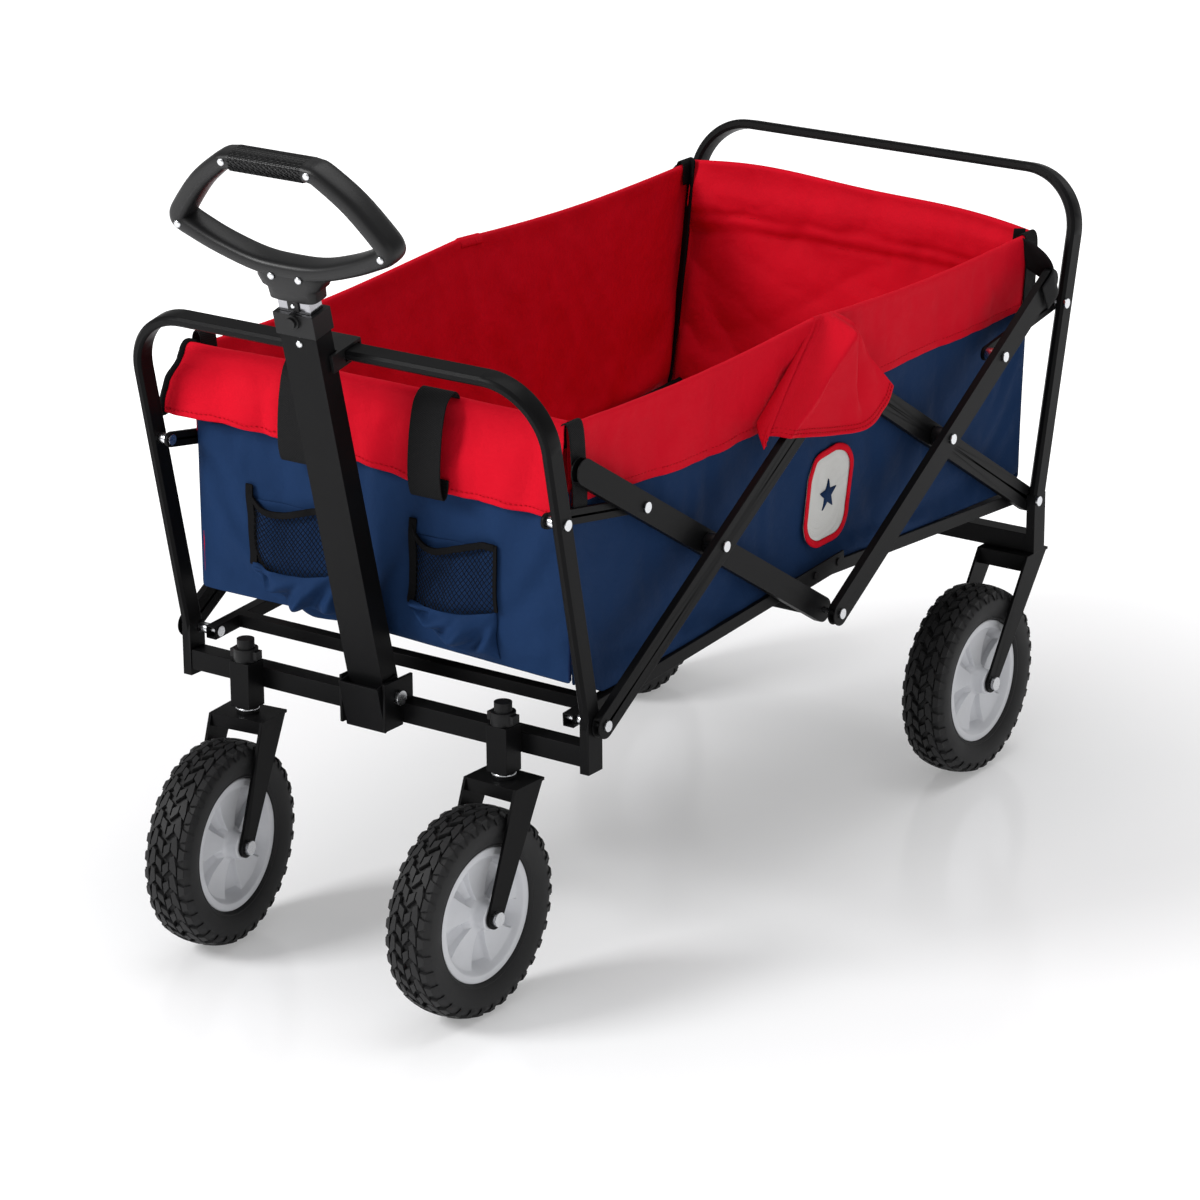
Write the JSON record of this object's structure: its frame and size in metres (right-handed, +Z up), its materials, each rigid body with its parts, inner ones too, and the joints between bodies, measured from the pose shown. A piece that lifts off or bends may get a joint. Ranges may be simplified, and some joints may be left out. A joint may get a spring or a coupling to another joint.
{
  "type": "folding pull wagon",
  "caption": "Folding pull wagon: fabric tub in a scissor-bar frame with end hoops, swivelling front casters, fixed rear wheels and a telescopic pull handle.",
  "frame": {"origin": "on the ground, at the centre of the open wagon's box", "axes": "+X to the front, where the pull handle is; +Y to the left side; +Z up"},
  "size_m": [1.0722, 0.505, 0.8117],
  "materials": {
    "frame": "black powder coat, satin",
    "fastener": "bright zinc plate",
    "plastic_black": "moulded black plastic, fine texture",
    "grip": "soft textured grip",
    "tyre": "matte rubber",
    "rim": "silver grey plastic, satin",
    "board": "board in woven polyester",
    "fabric_navy": "woven polyester, navy",
    "fabric_red": "woven polyester, red",
    "webbing": "black webbing and mesh",
    "inner_tube": "bright plated steel"
  },
  "bodies": {
    "front_frame": {"front_hoop": "frame", "front_crossbar": "frame", "caster_sleeves": "frame", "handle_bracket": "frame", "front_frame_bolts": "fastener", "handle_clip": "plastic_black", "tub_front_wall": "fabric_navy", "tub_left_wall": "fabric_navy", "tub_right_wall": "fabric_navy"},
    "front_foot_bars": {"front_foot_bar_left": "frame", "front_foot_bar_right": "frame", "front_foot_bar_rivets": "fastener", "front_foot_bar_spacers": "plastic_black"},
    "front_top_bars": {"front_top_bar_left": "frame", "front_top_bar_right": "frame", "front_top_bar_rivets": "fastener", "centre_cross_tube": "frame"},
    "rear_foot_bars": {"rear_foot_bar_left": "frame", "rear_foot_bar_right": "frame", "rear_foot_bar_rivets": "fastener", "rear_foot_bar_spacers": "plastic_black"},
    "rear_top_bars": {"rear_top_bar_left": "frame", "rear_top_bar_right": "frame", "rear_top_bar_rivets": "fastener"},
    "rear_frame": {"rear_hoop": "frame", "rear_crossbar": "frame", "rear_fork_left": "frame", "rear_fork_right": "frame", "rear_axles": "fastener", "rear_frame_bolts": "fastener", "tub_rear_wall": "fabric_navy"},
    "front_links": {"front_links": "frame"},
    "rear_links": {"rear_links": "frame"},
    "front_floor": {"front_floor_frame": "frame", "front_floor_board": "board", "floor_hinge_plates": "frame"},
    "rear_floor": {"rear_floor_frame": "frame", "rear_floor_board": "board"},
    "handle": {"handle_outer_tube": "frame", "handle_shoe": "frame", "handle_collar": "plastic_black"},
    "handle_inner": {"handle_inner_tube": "inner_tube", "handle_grip": "plastic_black", "handle_grip_pad": "grip"},
    "handle_button": {"handle_button": "plastic_black"},
    "caster_left": {"caster_fork_left": "frame", "caster_axle_left": "fastener", "caster_cap_left": "plastic_black"},
    "front_wheel_left": {"caster_tyre_left": "tyre", "caster_rim_left": "rim"},
    "rear_wheel_left": {"rear_tyre_left": "tyre", "rear_rim_left": "rim"},
    "caster_right": {"caster_fork_right": "frame", "caster_axle_right": "fastener", "caster_cap_right": "plastic_black"},
    "front_wheel_right": {"caster_tyre_right": "tyre", "caster_rim_right": "rim"},
    "rear_wheel_right": {"rear_tyre_right": "tyre", "rear_rim_right": "rim"}
  },
  "joints": [
    {"name": "fold", "type": "hinge", "parent": "front_frame", "child": "front_foot_bars", "pos_m": [0.35574, 0, 0.2784], "axis": [0, 1, 0], "range_deg": [0, 38.5], "deforming": ["tub_left_wall", "tub_right_wall", "tub_front_wall", "tub_rear_wall"]},
    {"name": "front_cross", "type": "hinge", "parent": "front_foot_bars", "child": "front_top_bars", "pos_m": [0.1624, 0, 0.39735], "axis": [0, 1, 0], "range_deg": [-77, 0]},
    {"name": "top_joint", "type": "hinge", "parent": "front_foot_bars", "child": "rear_foot_bars", "pos_m": [-0.04287, 0, 0.52363], "axis": [0, 1, 0], "range_deg": [-77, 0]},
    {"name": "rear_cross", "type": "hinge", "parent": "rear_foot_bars", "child": "rear_top_bars", "pos_m": [-0.24814, 0, 0.39735], "axis": [0, 1, 0], "range_deg": [0, 77]},
    {"name": "rear_foot", "type": "hinge", "parent": "rear_foot_bars", "child": "rear_frame", "pos_m": [-0.44148, 0, 0.2784], "axis": [0, 1, 0], "range_deg": [0, 38.5]},
    {"name": "front_link_pivot", "type": "hinge", "parent": "front_frame", "child": "front_links", "pos_m": [0.40313, 0, 0.482], "axis": [0, 1, 0], "range_deg": [0, 63.52]},
    {"name": "rear_link_pivot", "type": "hinge", "parent": "rear_frame", "child": "rear_links", "pos_m": [-0.48887, 0, 0.482], "axis": [0, 1, 0], "range_deg": [-63.52, 0]},
    {"name": "front_floor_fold", "type": "hinge", "parent": "front_frame", "child": "front_floor", "pos_m": [0.35574, 0, 0.2784], "axis": [0, 1, 0], "range_deg": [0, 69.3]},
    {"name": "rear_floor_fold", "type": "hinge", "parent": "rear_frame", "child": "rear_floor", "pos_m": [-0.44148, 0, 0.2784], "axis": [0, 1, 0], "range_deg": [-69.3, 0]},
    {"name": "handle_tilt", "type": "hinge", "parent": "front_frame", "child": "handle", "pos_m": [0.37713, 0, 0.266], "axis": [0, 1, 0], "range_deg": [0, 44]},
    {"name": "handle_slide", "type": "slide", "parent": "handle", "child": "handle_inner", "axis": [0.2329, 0, 0.9725], "range_m": [0, 0.26]},
    {"name": "button_press", "type": "slide", "parent": "handle", "child": "handle_button", "axis": [-0.9725, 0, 0.2329], "range_m": [0, 0.002], "stiffness_N_per_m": 400},
    {"name": "caster_swivel_left", "type": "hinge", "parent": "front_frame", "child": "caster_left", "pos_m": [0.38263, 0.1525, 0.222], "axis": [0, 0, 1], "continuous": true},
    {"name": "front_wheel_spin_left", "type": "hinge", "parent": "caster_left", "child": "front_wheel_left", "pos_m": [0.43611, 0.15101, 0.1], "axis": [0.0279, 0.9996, 0], "continuous": true},
    {"name": "rear_wheel_spin_left", "type": "hinge", "parent": "rear_frame", "child": "rear_wheel_left", "pos_m": [-0.35857, 0.2093, 0.1], "axis": [0, 1, 0], "continuous": true},
    {"name": "caster_swivel_right", "type": "hinge", "parent": "front_frame", "child": "caster_right", "pos_m": [0.38263, -0.1525, 0.222], "axis": [0, 0, 1], "continuous": true},
    {"name": "front_wheel_spin_right", "type": "hinge", "parent": "caster_right", "child": "front_wheel_right", "pos_m": [0.43584, -0.14691, 0.1], "axis": [-0.1045, 0.9945, 0], "continuous": true},
    {"name": "rear_wheel_spin_right", "type": "hinge", "parent": "rear_frame", "child": "rear_wheel_right", "pos_m": [-0.35857, -0.2093, 0.1], "axis": [0, 1, 0], "continuous": true}
  ],
  "couplings": [
    {"joint": "front_cross", "follows": "fold", "ratio": -2},
    {"joint": "top_joint", "follows": "fold", "ratio": -2},
    {"joint": "rear_cross", "follows": "fold", "ratio": 2},
    {"joint": "rear_foot", "follows": "fold", "ratio": 1},
    {"joint": "front_link_pivot", "follows": "fold", "ratio": 1.65},
    {"joint": "rear_link_pivot", "follows": "fold", "ratio": -1.65},
    {"joint": "front_floor_fold", "follows": "fold", "ratio": 1.8},
    {"joint": "rear_floor_fold", "follows": "fold", "ratio": -1.8}
  ]
}
